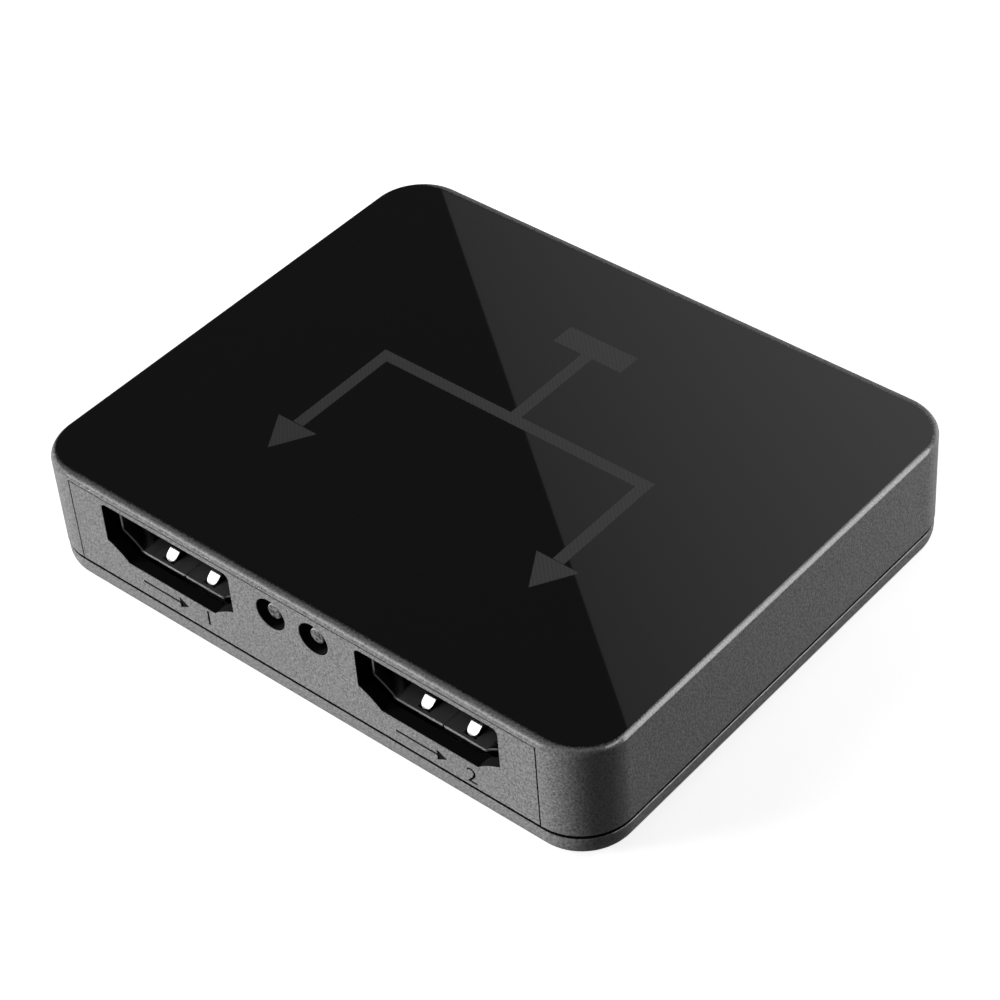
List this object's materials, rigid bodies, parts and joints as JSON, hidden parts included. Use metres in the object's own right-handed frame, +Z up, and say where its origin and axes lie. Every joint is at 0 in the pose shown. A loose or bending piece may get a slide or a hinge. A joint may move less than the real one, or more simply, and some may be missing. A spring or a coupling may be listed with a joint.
{
  "type": "video splitter",
  "caption": "Flat black video splitter box with rounded corners, glossy top, output sockets and indicator lights in front, input and power sockets behind.",
  "frame": {"origin": "middle of the underside of the tray, on the surface the box stands on", "axes": "+X along the front width, +Y from the output sockets to the rear wall, +Z up"},
  "size_m": [0.065, 0.053, 0.013],
  "materials": {
    "cover_plastic": "black moulding, mirror gloss on top, fine matt grain on the walls",
    "tray_plastic": "black moulding with a fine matt grain",
    "screw_steel": "zinc-plated steel",
    "board_laminate": "green solder mask",
    "shell_nickel": "nickel-plated sheet metal",
    "socket_moulding": "black moulding",
    "contact_gold": "gold flash",
    "lens_resin": "frosted clear resin",
    "lead_tin": "tin plate",
    "chip_epoxy": "moulded epoxy",
    "can_steel": "drawn nickel silver can",
    "capacitor_ceramic": "fired ceramic",
    "bulk_resin": "moulded resin"
  },
  "bodies": {
    "root": {"top_cover": "cover_plastic", "bottom_cover": "tray_plastic", "case_screws": "screw_steel", "main_board": "board_laminate", "video_out_1_shell": "shell_nickel", "video_out_1_insulator": "socket_moulding", "video_out_1_contacts": "contact_gold", "video_out_2_shell": "shell_nickel", "video_out_2_insulator": "socket_moulding", "video_out_2_contacts": "contact_gold", "video_in_shell": "shell_nickel", "video_in_insulator": "socket_moulding", "video_in_contacts": "contact_gold", "power_socket_shell": "shell_nickel", "power_socket_insulator": "socket_moulding", "power_socket_contacts": "contact_gold", "power_light": "lens_resin", "power_light_wires": "lead_tin", "link_light": "lens_resin", "link_light_wires": "lead_tin", "splitter_chip": "chip_epoxy", "splitter_chip_leads": "lead_tin", "control_chip": "chip_epoxy", "control_chip_leads": "lead_tin", "regulator_1": "chip_epoxy", "regulator_1_leads": "lead_tin", "regulator_2": "chip_epoxy", "regulator_2_leads": "lead_tin", "crystal_can": "can_steel", "crystal_base": "chip_epoxy", "bulk_capacitor": "bulk_resin", "ceramic_capacitors": "capacitor_ceramic", "chip_resistors": "chip_epoxy", "chip_part_ends": "lead_tin", "surge_arrays": "chip_epoxy"}
  },
  "joints": []
}
